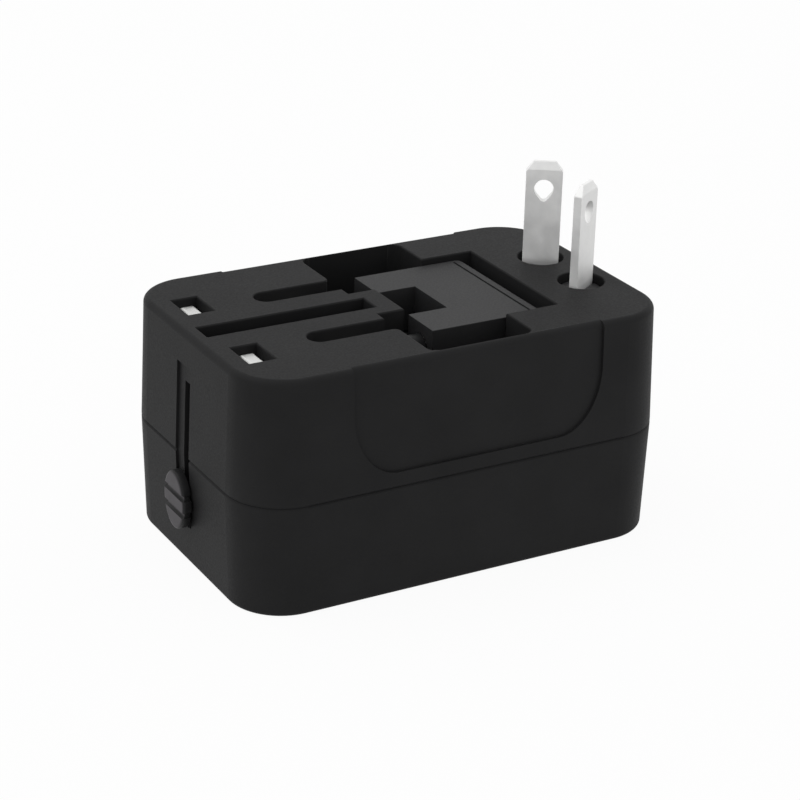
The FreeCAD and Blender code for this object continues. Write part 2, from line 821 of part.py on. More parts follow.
def serpentine(x0, x1, y0, y1, z0, z1):
    """Flat spring cut from sheet: a strip that zigzags between y0 and y1 from x0 to x1."""
    strip = spring_strip
    pitch = (x1 - x0 - strip) / spring_folds
    parts = []
    for i in range(spring_folds + 1):
        x = x0 + i * pitch
        parts.append(block(x, x + strip, y0, y1, z0, z1))
    for i in range(spring_folds):
        x = x0 + i * pitch
        low = y0 if i % 2 else y1 - strip
        parts.append(block(x, x + pitch + strip, low, low + strip, z0, z1))
    return joined(parts)


def shutter_springs():
    left = core_left + core_rest_width + spring_anchor
    right = socket_line_x - shutter_pad_x / 2 - press_clearance
    return mirrored_pair(serpentine(left, right, shutter_pad_outer + spring_side_gap,
                                    shutter_lug_outer - spring_side_gap / 2,
                                    shutter_bottom + lip_clearance, shutter_top - lip_clearance))


def web_hook(end, low, margin):
    """Tongue that joins a slider's web to its carriage."""
    x0, x1 = sorted((end * web_inner, end * (web_inner - hook_reach)))
    return block(x0 - margin, x1 + margin, web_front - margin, web_back + margin,
                 low - margin, low + hook_height + margin)


def slider_button(end, rest_z, web_low, web_high, hook_low):
    """Ribbed oval pad outside the end face, with its web through the slot."""
    half_h = button_height / 2
    half_w = button_width / 2
    outline = Part.Ellipse(Vector(0, 0, 0), half_h, half_w)
    pad = Part.Face(Part.Wire(outline.toShape())).extrude(Vector(0, 0, button_proud))
    pad = pad.makeFillet(button_edge_radius, edges_at_height(pad, button_proud))
    pad.rotate(Vector(0, 0, 0), Vector(0, 1, 0), 90 * end)
    pad.translate(Vector(end * pad_inner, button_y, rest_z))
    cuts = []
    for step in (-0.5, 0.5):
        z = rest_z + step * button_rib_pitch
        reach = half_w * math.sqrt(1 - (step * button_rib_pitch / half_h) ** 2)
        cuts.append(rod((end * pad_outer, button_y - button_width, z), (0, 1, 0),
                        button_groove_radius, 2 * button_width))
        for side in (-1, 1):
            cuts.append(rod((end * pad_inner, button_y + side * reach, z), (end, 0, 0),
                            button_notch_radius, button_proud + over_cut))
    x0, x1 = sorted((end * pad_inner, end * web_inner))
    web = block(x0, x1, web_front, web_back, web_low, web_high)
    return joined([pad.cut(cuts), web, web_hook(end, hook_low, 0)])


def uk_slider_button():
    return slider_button(-1, button_low_z, button_low_z - web_far, button_low_z + web_near, uk_hook_bottom)


def us_slider_button():
    return slider_button(1, button_high_z, button_high_z - web_near, us_hook_bottom + hook_height,
                         us_hook_bottom)


def uk_pin_blank(side, margin):
    """Straight bar of one flat British pin, with a margin all round for its pocket."""
    return centred(uk_pin_x, side * uk_pin_spacing / 2, uk_pin_thickness + 2 * margin,
                   uk_pin_width + 2 * margin, uk_bridge_top - margin, body_height - uk_pin_recess)


def uk_pin(side):
    pin = uk_pin_blank(side, 0)
    return pin.makeChamfer(uk_pin_bevel, edges_at_height(pin, body_height - uk_pin_recess))


def uk_carriage():
    """Bridge with a tower for each flat pin."""
    half = uk_carriage_width / 2
    parts = [block(uk_carriage_left, uk_carriage_right, -half, half, uk_bridge_bottom, uk_bridge_top)]
    for side in (-1, 1):
        parts.append(beside(uk_carriage_left, uk_carriage_right, side, uk_tower_inner, half,
                            uk_bridge_bottom, uk_tower_top))
    pockets = [uk_pin_blank(side, fit_clearance) for side in (-1, 1)]
    pockets.append(web_hook(-1, uk_hook_bottom, fit_clearance))
    return joined(parts).cut(pockets)


def uk_earth_pin():
    half = uk_earth_width / 2
    pin = block(earth_tip_x, earth_right, -half, half, earth_bottom, earth_top)
    pin = pin.makeChamfer(uk_earth_bevel, edges_at_x(pin, earth_tip_x))
    heel = [edge for edge in edges_at_height(pin, earth_top) if edge.BoundBox.XMin > earth_right - 1e-4]
    pin = pin.makeFillet(uk_earth_pivot_inset - fit_clearance, heel)
    bore = hinge_pin_diameter / 2 + axle_clearance
    return pin.cut(axle(earth_pivot_x, earth_pivot_z, half + over_cut, bore))


def earth_pin_axle():
    return axle(earth_pivot_x, earth_pivot_z, hub_half - fit_clearance, hinge_pin_diameter / 2)


def eu_pin(side):
    """Round pin with a bullet tip, a thinner neck for its sleeve and a shank inside the frame."""
    y = side * eu_pin_spacing / 2
    r = eu_pin_diameter / 2
    root_x = frame_tip_x + eu_pin_root
    start = (eu_pin_tip_x + eu_pin_nose, y, eu_pin_z)
    parts = [rod(start, (1, 0, 0), r, eu_shoulder_x - start[0])]
    parts.append(Part.makeCone(r, r / 2, eu_pin_nose, Vector(*start), Vector(-1, 0, 0)))
    parts.append(rod((eu_shoulder_x, y, eu_pin_z), (1, 0, 0), eu_neck_diameter / 2, eu_sleeve_length))
    parts.append(rod((frame_tip_x, y, eu_pin_z), (1, 0, 0), r, eu_pin_root))
    parts.append(rod((root_x, y, eu_pin_z), (1, 0, 0), eu_pin_shank_diameter / 2,
                     frame_pivot_x - eu_shank_end_gap - root_x))
    return joined(parts)


def eu_pin_sleeves():
    """Insulating sleeve round the neck of each round pin."""
    start = (eu_shoulder_x + press_clearance, eu_pin_spacing / 2, eu_pin_z)
    length = eu_sleeve_length - 2 * press_clearance
    sleeve = rod(start, (1, 0, 0), eu_pin_diameter / 2, length)
    return mirrored_pair(sleeve.cut(rod(start, (1, 0, 0), eu_neck_diameter / 2 + press_clearance, length)))


def eu_flap_frame():
    """U-shaped frame with a pin in each arm, a hinge bore and a scored line on top."""
    half = frame_width / 2
    frame = block(frame_tip_x, frame_rear_x, -half, half, frame_bottom, frame_top)
    rear = edges_at_x(frame, frame_rear_x)
    heel = [edge for edge in rear if edge.BoundBox.ZMax < frame_bottom + 1e-4]
    hinge = [edge for edge in rear if edge.BoundBox.ZMin > frame_top - 1e-4]
    frame = frame.makeChamfer(frame_heel_bevel, heel)
    frame = frame.makeFillet(frame_hinge_radius, hinge)
    frame = frame.common(rounded_block(frame_tip_x - 2 * frame_corner_radius, frame_rear_x, -half, half,
                                       frame_bottom - over_cut, frame_top + over_cut,
                                       frame_corner_radius))
    cuts = [block(frame_tip_x - over_cut, frame_notch_x, -frame_notch_width / 2, frame_notch_width / 2,
                  frame_bottom - over_cut, frame_top + over_cut)]
    for side in (-1, 1):
        start = (frame_tip_x - over_cut, side * eu_pin_spacing / 2, eu_pin_z)
        cuts.append(rod(start, (1, 0, 0), eu_pin_diameter / 2 + press_clearance, eu_pin_root + over_cut))
        cuts.append(rod(start, (1, 0, 0), eu_pin_shank_diameter / 2 + press_clearance,
                        frame_pivot_x - eu_shank_end_gap - start[0] + fit_clearance))
    cuts.append(axle(frame_pivot_x, frame_pivot_z, half + over_cut, hinge_pin_diameter / 2 + axle_clearance))
    cuts.append(centred(frame_rear_x - score_line_inset, 0, score_line_width, score_line_length,
                        frame_top - score_line_depth, frame_top + over_cut))
    return frame.cut(cuts)


def eu_hinge_pin():
    return axle(frame_pivot_x, frame_pivot_z, hinge_half - fit_clearance, hinge_pin_diameter / 2)


def teardrop(x, y0, depth):
    """Hole near a blade's tip: a round hole that narrows to a small round toe below."""
    hole_z = body_height + blade_hole_height
    toe_z = hole_z - blade_hole_toe_drop
    lean = math.asin((blade_hole_radius - blade_hole_toe_radius) / blade_hole_toe_drop)
    throat = []
    rounds = [(1, blade_hole_radius, hole_z), (1, blade_hole_toe_radius, toe_z)]
    rounds += [(-side, radius, z) for side, radius, z in reversed(rounds)]
    for side, radius, z in rounds:
        throat.append((x + side * radius * math.cos(lean), y0, z - radius * math.sin(lean)))
    hole = rod((x, y0, hole_z), (0, 1, 0), blade_hole_radius, depth)
    toe = rod((x, y0, toe_z), (0, 1, 0), blade_hole_toe_radius, depth)
    return hole.fuse([toe, prism(throat, (0, depth, 0))])


def blade(side):
    """Flat blade with cut corners, a bevelled tip and a teardrop hole."""
    x, y = blade_centre(side)
    w = blade_width / 2
    t = blade_thickness / 2
    flat = blade_tip_flat / 2
    shoulder = blade_tip_z - blade_corner_height
    outline = [(x - w, y - t, blade_foot_z), (x + w, y - t, blade_foot_z), (x + w, y - t, shoulder),
               (x + flat, y - t, blade_tip_z), (x - flat, y - t, blade_tip_z), (x - w, y - t, shoulder)]
    plate = prism(outline, (0, blade_thickness, 0))
    plate = plate.fuse(centred(x, y, blade_tail_width, blade_thickness, us_plate_bottom, blade_foot_z))
    cuts = [teardrop(x, y - t - over_cut, blade_thickness + 2 * over_cut)]
    left = x - w - over_cut
    tip = blade_tip_z + fit_clearance
    for face in (-1, 1):
        outer = y + face * (t + fit_clearance)
        wedge = [(left, y + face * (t - blade_bevel_depth), tip), (left, outer, tip),
                 (left, outer, blade_tip_z - blade_bevel_height)]
        cuts.append(prism(wedge, (blade_width + 2 * over_cut, 0, 0)))
    return turned(plate.cut(cuts), (x, y), -side * blade_tilt)


def blade_pocket(side):
    """Space that a blade's foot and tail take up inside its turret."""
    x, y = blade_centre(side)
    grow = 2 * press_clearance
    upper = centred(x, y, blade_width + grow, blade_thickness + grow, blade_foot_z - press_clearance,
                    body_height)
    lower = centred(x, y, blade_tail_width + grow, blade_thickness + grow, us_plate_bottom - over_cut,
                    blade_foot_z)
    return turned(upper.fuse(lower), (x, y), -side * blade_tilt)


def turret(side):
    """Round swivel holder of one blade: stub, flange and boss."""
    x, y = blade_centre(side)
    boss = post(x, y, us_flange_bottom, turret_top, turret_radius)
    boss = boss.makeChamfer(turret_bevel, edges_at_height(boss, turret_top))
    parts = [boss, post(x, y, us_flange_bottom, us_flange_top, turret_flange_radius)]
    parts.append(post(x, y, us_plate_bottom, us_flange_bottom, turret_stub_radius))
    return joined(parts).cut(blade_pocket(side))


def us_carriage():
    """Plate that carries both turrets, with a rim along each side for the cover."""
    half = us_carriage_width / 2
    carriage = block(us_carriage_left, us_carriage_right, -half, half, us_plate_bottom, us_cover_bottom)
    cuts = [block(us_carriage_left - over_cut, us_carriage_right + over_cut, us_rim - half, half - us_rim,
                  us_plate_top, us_cover_top)]
    for side in (-1, 1):
        x, y = blade_centre(side)
        cuts.append(post(x, y, us_plate_bottom - over_cut, us_plate_top + over_cut,
                         turret_stub_radius + axle_clearance))
    cuts.append(web_hook(1, us_hook_bottom, fit_clearance))
    return carriage.cut(cuts)


def us_turret_cover():
    """Cover plate that keeps the turret flanges down on the carriage."""
    half = us_carriage_width / 2
    cover = block(us_carriage_left, us_carriage_right, -half, half, us_cover_bottom, us_cover_top)
    holes = []
    for side in (-1, 1):
        x, y = blade_centre(side)
        holes.append(post(x, y, us_cover_bottom - over_cut, us_cover_top + over_cut,
                          turret_radius + 2 * axle_clearance))
    return cover.cut(holes)


def us_wipers():
    """Bowed leaves on the blade carriage that slide along the feed rails."""
    x = us_carriage_left
    bow = x - wiper_bow
    z0 = us_plate_bottom + slide_clearance
    z1 = us_plate_top - slide_clearance
    middle = (z0 + z1) / 2
    y = wiper_y
    outline = [(x, y, z0), (x - leaf, y, z0), (bow, y, middle), (x - leaf, y, z1), (x, y, z1),
               (x, y, z1 - leaf), (bow + leaf, y, middle), (x, y, z0 + leaf)]
    return mirrored_pair(prism(outline, (0, feed_width, 0)))


def us_feed_rails():
    """Upright contact strips on the inner block, beside the blade carriage's path."""
    y0 = wiper_y + feed_width / 2 - rail_width / 2
    return mirrored_pair(block(core_right, core_right + contact_sheet, y0, y0 + rail_width,
                               core_bottom + core_height / 2, us_cover_top))


def uk_feed_springs():
    """Angled leaves on the inner block, beside the flat pins' towers."""
    x0 = core_left + leaf / 2
    y0 = uk_pin_spacing / 2 - feed_width / 2
    foot = block(x0, x0 + feed_width, y0, y0 + feed_width, core_top, core_top + leaf)
    leg = block(x0, x0 + leaf, y0, y0 + feed_width, core_top, core_top + uk_feed_height)
    return mirrored_pair(joined([foot, leg]))


def eu_feed_springs():
    """Leaves under the well floor that feed the folding frame's pins."""
    y0 = eu_pin_spacing / 2 - feed_width / 2
    return mirrored_pair(block(frame_pivot_x - eu_feed_length, frame_pivot_x, y0, y0 + feed_width,
                               well_underside - leaf, well_underside))


def earth_pin_detent():
    """Leaf under the hub of the folding earth pin."""
    return centred(earth_pivot_x - detent_length / 4, 0, detent_length, feed_width,
                   earth_tub_bottom - leaf, earth_tub_bottom)


def detent_plate(margin):
    """Leaf set into the inner block's end, where the carriage of the flat pins passes."""
    z0 = core_bottom + (core_height - detent_height) / 2
    return block(core_left, core_left + leaf, -feed_width - margin, feed_width + margin,
                 z0 - margin, z0 + detent_height + margin)


def power_board():
    board = block(board_left, board_right, -board_half, board_half, board_bottom, board_top)
    return board.makeFillet(board_corner_radius, upright_edges(board))


def transformer():
    """Ferrite core with a winding window on each side."""
    x = board_right - transformer_inset - transformer_length / 2
    y = transformer_y
    top = well_underside - transformer_top_gap
    core = centred(x, y, transformer_length, transformer_width, board_top, top)
    cuts = []
    for side in (-1, 1):
        cuts.append(centred(x, y + side * transformer_width / 2, transformer_length - 2 * transformer_limb,
                            transformer_limb, board_top + transformer_yoke, top - transformer_yoke))
    return core.cut(cuts)


def smoothing_capacitors():
    cans = []
    for side in (-1, 1):
        start = (board_left + capacitor_inset, side * capacitor_spacing / 2, board_top + capacitor_radius)
        can = rod(start, (1, 0, 0), capacitor_radius, capacitor_length)
        cans.append(can.makeFillet(capacitor_radius / 6, [edge for edge in can.Edges if edge.Closed]))
    return Part.makeCompound(cans)


def control_chip():
    lx, ly, lz = chip_size
    x, y = chip_centre
    return centred(x, y, lx, ly, board_top, board_top + lz)


def fuse():
    """Ceramic fuse with a metal cap on each end."""
    start = fuse_x - fuse_length / 2
    parts = [rod((start, fuse_y, fuse_axis_z), (1, 0, 0), fuse_radius - fuse_tube_step, fuse_length)]
    for cap_x in (start, start + fuse_length - fuse_cap_length):
        parts.append(rod((cap_x, fuse_y, fuse_axis_z), (1, 0, 0), fuse_radius, fuse_cap_length))
    return joined(parts)


def fuse_clips():
    """Open spring rings on feet, one round each cap of the fuse."""
    y = fuse_y
    inner = fuse_radius + fit_clearance
    outer = inner + leaf
    clips = []
    for side in (-1, 1):
        middle = fuse_x + side * (fuse_length - fuse_cap_length) / 2
        start = middle - clip_width / 2
        ring = rod((start, y, fuse_axis_z), (1, 0, 0), outer, clip_width)
        ring = ring.cut(rod((start - over_cut, y, fuse_axis_z), (1, 0, 0), inner, clip_width + 2 * over_cut))
        ring = ring.cut(centred(middle, y, 2 * clip_width, 2 * outer, fuse_axis_z + clip_mouth_height,
                                fuse_axis_z + 2 * outer))
        foot = centred(middle, y, clip_width, clip_foot_width, board_top, fuse_axis_z - inner - leaf / 2)
        clips.append(joined([ring, foot]))
    return Part.makeCompound(clips)


def usb_port(side):
    """Sheet-metal shell of one charging port, open at the socket face."""
    y = side * usb_y
    hx = usb_height / 2
    hy = usb_width / 2
    thin = usb_sheet
    shell = rounded_block(usb_x - hx, usb_x + hx, y - hy, y + hy, usb_sunk, usb_board_bottom,
                          usb_corner_radius)
    return shell.cut(rounded_block(usb_x - hx + thin, usb_x + hx - thin, y - hy + thin, y + hy - thin,
                                   usb_sunk - over_cut, usb_board_bottom - thin, usb_corner_radius - thin))


def usb_tongues():
    """Insulating base and contact tongue of each charging port."""
    top = usb_board_bottom - usb_sheet
    right = usb_x + usb_height / 2 - usb_sheet - usb_tongue_gap
    tongues = []
    for side in (-1, 1):
        y = side * usb_y
        base = centred(usb_x, y, usb_height - 2 * usb_sheet, usb_tongue_width, top - usb_base_height, top)
        tongue = block(right - usb_tongue_thickness, right, y - usb_tongue_width / 2,
                       y + usb_tongue_width / 2, usb_sunk + usb_tongue_sunk, top)
        tongues.append(joined([base, tongue]))
    return Part.makeCompound(tongues)


def usb_board():
    return centred(usb_x, 0, usb_board_width, 2 * usb_board_half, usb_board_bottom,
                   usb_board_bottom + usb_board_thickness)


def case_screws():
    """Four cross-head screws, their heads sunk in the socket face."""
    low = screw_head_sunk
    screws = []
    for x, y in screw_places():
        head = post(x, y, low, low + screw_head_height, screw_head_radius)
        head = head.makeFillet(screw_head_round, edges_at_height(head, low))
        bar = centred(x, y, screw_cross_length, screw_cross_width, low - over_cut, low + screw_cross_depth)
        cross = [bar, turned(bar, (x, y), 90)]
        screws.append(joined([head, post(x, y, low, low + screw_length, screw_radius)]).cut(cross))
    return Part.makeCompound(screws)


def build_nodes():
    return {
        "upper_shell": upper_shell(),
        "lower_shell": lower_shell(),
        "socket_core": socket_core(),
        "contact_live": line_contact(1),
        "contact_neutral": line_contact(-1),
        "contact_earth": earth_contact(),
        "safety_shutter": safety_shutter(),
        "shutter_springs": shutter_springs(),
        "uk_carriage": uk_carriage(),
        "uk_pin_live": uk_pin(1),
        "uk_pin_neutral": uk_pin(-1),
        "uk_slider_button": uk_slider_button(),
        "uk_earth_pin": uk_earth_pin(),
        "earth_pin_axle": earth_pin_axle(),
        "earth_pin_detent": earth_pin_detent(),
        "uk_feed_springs": uk_feed_springs(),
        "uk_slide_detent": detent_plate(0),
        "eu_flap_frame": eu_flap_frame(),
        "eu_pin_live": eu_pin(1),
        "eu_pin_neutral": eu_pin(-1),
        "eu_pin_sleeves": eu_pin_sleeves(),
        "eu_hinge_pin": eu_hinge_pin(),
        "eu_feed_springs": eu_feed_springs(),
        "us_blade_far": blade(1),
        "us_blade_near": blade(-1),
        "us_turret_far": turret(1),
        "us_turret_near": turret(-1),
        "us_carriage": us_carriage(),
        "us_turret_cover": us_turret_cover(),
        "us_slider_button": us_slider_button(),
        "us_wipers": us_wipers(),
        "us_feed_rails": us_feed_rails(),
        "power_board": power_board(),
        "transformer": transformer(),
        "smoothing_capacitors": smoothing_capacitors(),
        "control_chip": control_chip(),
        "fuse": fuse(),
        "fuse_clips": fuse_clips(),
        "usb_board": usb_board(),
        "usb_port_front": usb_port(-1),
        "usb_port_back": usb_port(1),
        "usb_tongues": usb_tongues(),
        "case_screws": case_screws(),
    }


os.makedirs("parts", exist_ok=True)
for node_name, node_shape in build_nodes().items():
    node_shape.exportStep("parts/" + node_name + ".step")
    print(node_name, len(node_shape.Solids), node_shape.isValid(), round(node_shape.Volume, 1))
print("joints: earth pin", round(earth_pivot_x, 3), round(earth_pivot_z, 3),
      "frame", round(frame_pivot_x, 3), round(frame_pivot_z, 3), "blades", round(blade_x, 3),
      "travels", uk_travel, us_travel, shutter_travel)
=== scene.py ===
import math

import bmesh
import bpy
from mathutils import Matrix, Vector


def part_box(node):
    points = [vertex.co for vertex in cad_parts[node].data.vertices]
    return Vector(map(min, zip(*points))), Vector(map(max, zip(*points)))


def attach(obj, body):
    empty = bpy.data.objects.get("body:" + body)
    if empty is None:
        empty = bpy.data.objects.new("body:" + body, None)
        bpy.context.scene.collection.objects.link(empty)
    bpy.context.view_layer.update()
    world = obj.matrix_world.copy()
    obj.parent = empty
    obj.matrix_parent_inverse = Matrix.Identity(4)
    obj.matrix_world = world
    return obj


MM = 0.001

# Camera, solved from the housing's edges in the photograph
CAMERA_PLACE = (-179.98 * MM, -315.7 * MM, 180.85 * MM)
CAMERA_AZIMUTH = -29.77
CAMERA_ELEVATION = 23.664
CAMERA_ROLL = 1.557
CAMERA_LENS = 107.15
CAMERA_SENSOR = 36.0

# Studio
FLOOR_SIZE = 6.0
FLOOR_COLOUR = (0.86, 0.86, 0.86)
FLOOR_GLOW = 0.94
WORLD_LIGHT = 0.8

# Colours, as linear light
BLACK_MOULDING = (0.0158, 0.0158, 0.0162)
FLAP_MOULDING = (0.0178, 0.0178, 0.0186)
# Slider: painted light on the face across X, painted shade on the sides
SLIDER_PAINTED_LIT_FACE = (0.050, 0.046, 0.051)
SLIDER_PAINTED_SHADED_SIDE = (0.011, 0.011, 0.0115)
PIN_MOULDING = (0.009, 0.009, 0.0095)
CARRIAGE_MOULDING = (0.020, 0.020, 0.021)
CORE_MOULDING = (0.055, 0.055, 0.058)
SHUTTER_MOULDING = (0.022, 0.022, 0.023)
NICKEL = (0.70, 0.70, 0.69)
# Blade plating: a brighter copy of NICKEL, painted light standing in for brighter reflections on the
# blades; the satin finish itself is the roughness
SATIN_NICKEL_PAINTED_BRIGHT = (0.86, 0.86, 0.855)
CONTACT_ALLOY = (0.72, 0.55, 0.28)
STEEL = (0.56, 0.56, 0.57)
DARK_STEEL = (0.06, 0.06, 0.063)
BOARD_GREEN = (0.012, 0.090, 0.035)
WINDING = (0.42, 0.17, 0.045)
CERAMIC = (0.78, 0.75, 0.68)
FERRITE = (0.02, 0.02, 0.021)
CAN_SLEEVE = (0.012, 0.016, 0.035)
CHIP_MOULDING = (0.012, 0.012, 0.012)
TONGUE_MOULDING = (0.014, 0.014, 0.015)
PART_MOULDING = (0.03, 0.026, 0.022)

# Softened edges
SHELL_RIM = 0.25 * MM
SOCKET_RIM = 0.2 * MM
SHELL_RIM_SIDE = 22.2 * MM
SOCKET_RIM_SIDE = 24 * MM
RIM_BAND = 0.1 * MM
FOLDING_EDGE = 0.25 * MM
BLADE_EDGE = 0.22 * MM
PIN_EDGE = 0.12 * MM
SLIDER_EDGE = 0.15 * MM

# Fuse, with a plated cap at each end
FUSE_CAP = 5 * MM

# Charging port contacts, as on a common flat port
PORT_SHEET = 0.3 * MM
TONGUE_GAP = 0.5 * MM
TONGUE_THICKNESS = 1.8 * MM
CONTACT_PROUD = 0.04 * MM
CONTACT_LENGTH = 6.5 * MM
CONTACT_START = 1.2 * MM
CONTACT_OFFSETS = (-3.5 * MM, -1.0 * MM, 1.0 * MM, 3.5 * MM)
CONTACT_WIDTH = 1.1 * MM

# Transformer winding, in the windows of its ferrite core
WIRE_RADIUS = 0.24 * MM
WINDING_SIDE = 2.7 * MM
WINDING_YOKE = 1.5 * MM
WINDING_SUNK = 0.8 * MM

# Small parts on the charger board: place from the board's middle, and length
SMALL_PARTS = ((-6, -12, 3.2), (-1, -13.5, 2.0), (-1, -10.5, 2.0), (3, -16, 2.0), (-9, 5, 2.0),
               (-9, 8.5, 2.0), (2, 9, 3.2), (6.5, 2.5, 2.0), (11, 4, 3.2), (-13, -3, 2.0), (-13, 3, 2.0))
SMALL_PART_WIDTH = 1.25 * MM
SMALL_PART_HEIGHT = 0.6 * MM

# Key lamp
KEY_PLACE = (-0.35, 0.15, 0.75)
KEY_AIM = (0, 0, 0.03)
KEY_SIZE = (0.5, 0.5)
KEY_POWER = 1.3


def link(tree, source, target):
    tree.links.new(source, target)


def object_noise(tree, coordinates, size, detail=2.0, stretch=(1, 1, 1)):
    """Noise whose grains are about size metres across, stretched by a factor along each axis."""
    mapping = tree.nodes.new("ShaderNodeMapping")
    mapping.inputs["Scale"].default_value = [1 / (size * s) for s in stretch]
    link(tree, coordinates, mapping.inputs["Vector"])
    noise = tree.nodes.new("ShaderNodeTexNoise")
    noise.inputs["Scale"].default_value = 1.0
    noise.inputs["Detail"].default_value = detail
    link(tree, mapping.outputs["Vector"], noise.inputs["Vector"])
    return noise.outputs["Fac"]


def ramp_between(tree, factor, low, high, start=0.3, end=0.7):
    """Maps a 0..1 factor to values between low and high."""
    node = tree.nodes.new("ShaderNodeMapRange")
    for name, value in (("From Min", start), ("From Max", end), ("To Min", low), ("To Max", high)):
        node.inputs[name].default_value = value
    link(tree, factor, node.inputs["Value"])
    return node.outputs["Result"]


def mixed_colour(tree, factor, first, second):
    mix = tree.nodes.new("ShaderNodeMix")
    mix.data_type = "RGBA"
    link(tree, factor, mix.inputs["Factor"])
    mix.inputs["A"].default_value = (*first, 1)
    mix.inputs["B"].default_value = (*second, 1)
    return mix.outputs["Result"]


def scaled(colour, factor):
    return tuple(min(1.0, c * factor) for c in colour)


def new_material(name):
    material = bpy.data.materials.new(name)
    material.use_nodes = True
    tree = material.node_tree
    shader = tree.nodes["Principled BSDF"]
    coordinates = tree.nodes.new("ShaderNodeTexCoord").outputs["Object"]
    return material, tree, shader, coordinates


def bump_from(tree, shader, height, distance, strength=1.0):
    bump = tree.nodes.new("ShaderNodeBump")
    bump.inputs["Strength"].default_value = strength
    bump.inputs["Distance"].default_value = distance
    link(tree, height, bump.inputs["Height"])
    link(tree, bump.outputs["Normal"], shader.inputs["Normal"])


def moulded(name, colour, roughness, depth=0.010 * MM, gloss=0.35):
    """Spark-textured moulding: fine grain in the surface and its roughness, faint flow clouds in colour.
    """
    material, tree, shader, coordinates = new_material(name)
    clouds = object_noise(tree, coordinates, 9 * MM, detail=3.0)
    grains = object_noise(tree, coordinates, 0.30 * MM, detail=2.0)
    link(tree, mixed_colour(tree, ramp_between(tree, clouds, 0, 1), scaled(colour, 0.93),
                            scaled(colour, 1.09)), shader.inputs["Base Color"])
    link(tree, ramp_between(tree, grains, roughness - 0.05, roughness + 0.07),
         shader.inputs["Roughness"])
    shader.inputs["Specular IOR Level"].default_value = gloss
    bump_from(tree, shader, grains, depth)
    return material


def painted_light_moulding(name, face, side, roughness):
    """Moulding with painted light: its outer face, across X, gets a lighter colour as painted light, and
    its sides a darker one as painted shade.
    """
    material, tree, shader, coordinates = new_material(name)
    clouds = object_noise(tree, coordinates, 2.5 * MM, detail=3.0)
    normal = tree.nodes.new("ShaderNodeTexCoord").outputs["Normal"]
    apart = tree.nodes.new("ShaderNodeSeparateXYZ")
    link(tree, normal, apart.inputs["Vector"])
    across = tree.nodes.new("ShaderNodeMath")
    across.operation = "ABSOLUTE"
    link(tree, apart.outputs["X"], across.inputs[0])
    # Mask of the faces turned across X, which get the painted light
    lit_face_mask = ramp_between(tree, across.outputs[0], 0, 1, 0.75, 0.97)
    # Painted light colour of the face, with faint random tone
    painted_lit_face = mixed_colour(tree, ramp_between(tree, clouds, 0, 1), scaled(face, 0.88), scaled(face, 1.1))
    mix = tree.nodes.new("ShaderNodeMix")
    mix.data_type = "RGBA"
    link(tree, lit_face_mask, mix.inputs["Factor"])
    mix.inputs["A"].default_value = (*side, 1)
    link(tree, painted_lit_face, mix.inputs["B"])
    link(tree, mix.outputs["Result"], shader.inputs["Base Color"])
    shader.inputs["Roughness"].default_value = roughness
    shader.inputs["Specular IOR Level"].default_value = 0.2
    bump_from(tree, shader, object_noise(tree, coordinates, 0.3 * MM), 0.008 * MM)
    return material


def plated(name, colour, roughness, along=2):
    """Plated or drawn metal with fine streaks along one axis and faint handling marks."""
    material, tree, shader, coordinates = new_material(name)
    stretch = [1, 1, 1]
    stretch[along] = 60
    streaks = object_noise(tree, coordinates, 0.18 * MM, detail=1.0, stretch=stretch)
    marks = object_noise(tree, coordinates, 3.2 * MM, detail=4.0)
    link(tree, mixed_colour(tree, ramp_between(tree, marks, 0, 1), scaled(colour, 0.94),
                            scaled(colour, 1.05)), shader.inputs["Base Color"])
    link(tree, ramp_between(tree, marks, roughness - 0.05, roughness + 0.08),
         shader.inputs["Roughness"])
    shader.inputs["Metallic"].default_value = 1.0
    bump_from(tree, shader, streaks, 0.002 * MM)
    return material


def laminate(name):
    """Solder-masked board with faint track relief."""
    material, tree, shader, coordinates = new_material(name)
    tracks = tree.nodes.new("ShaderNodeTexVoronoi")
    tracks.distance = "MANHATTAN"
    tracks.inputs["Scale"].default_value = 320
    link(tree, coordinates, tracks.inputs["Vector"])
    link(tree, mixed_colour(tree, ramp_between(tree, tracks.outputs["Distance"], 0, 1, 0.30, 0.36),
                            BOARD_GREEN, scaled(BOARD_GREEN, 1.6)), shader.inputs["Base Color"])
    shader.inputs["Roughness"].default_value = 0.32
    bump_from(tree, shader, tracks.outputs["Distance"], 0.02 * MM, strength=0.4)
    return material


def fuse_material(name, low, high, cap):
    """White ceramic between two plated caps, told apart by the place along X."""
    material, tree, shader, coordinates = new_material(name)
    apart = tree.nodes.new("ShaderNodeSeparateXYZ")
    link(tree, coordinates, apart.inputs["Vector"])
    from_middle = tree.nodes.new("ShaderNodeMath")
    from_middle.operation = "SUBTRACT"
    link(tree, apart.outputs["X"], from_middle.inputs[0])
    from_middle.inputs[1].default_value = (low + high) / 2
    distance = tree.nodes.new("ShaderNodeMath")
    distance.operation = "ABSOLUTE"
    link(tree, from_middle.outputs[0], distance.inputs[0])
    is_cap = tree.nodes.new("ShaderNodeMath")
    is_cap.operation = "GREATER_THAN"
    link(tree, distance.outputs[0], is_cap.inputs[0])
    is_cap.inputs[1].default_value = (high - low) / 2 - cap
    link(tree, mixed_colour(tree, is_cap.outputs[0], CERAMIC, NICKEL),
         shader.inputs["Base Color"])
    link(tree, is_cap.outputs[0], shader.inputs["Metallic"])
    shader.inputs["Roughness"].default_value = 0.28
    return material


def clean_faces(node):
    """Joins a CAD node's split vertices and its flat triangles, so that bevels run evenly."""
    weld = node.modifiers.new("weld", "WELD")
    weld.merge_threshold = 0.002 * MM
    flats = node.modifiers.new("flats", "DECIMATE")
    flats.decimate_type = "DISSOLVE"
    flats.angle_limit = math.radians(0.2)


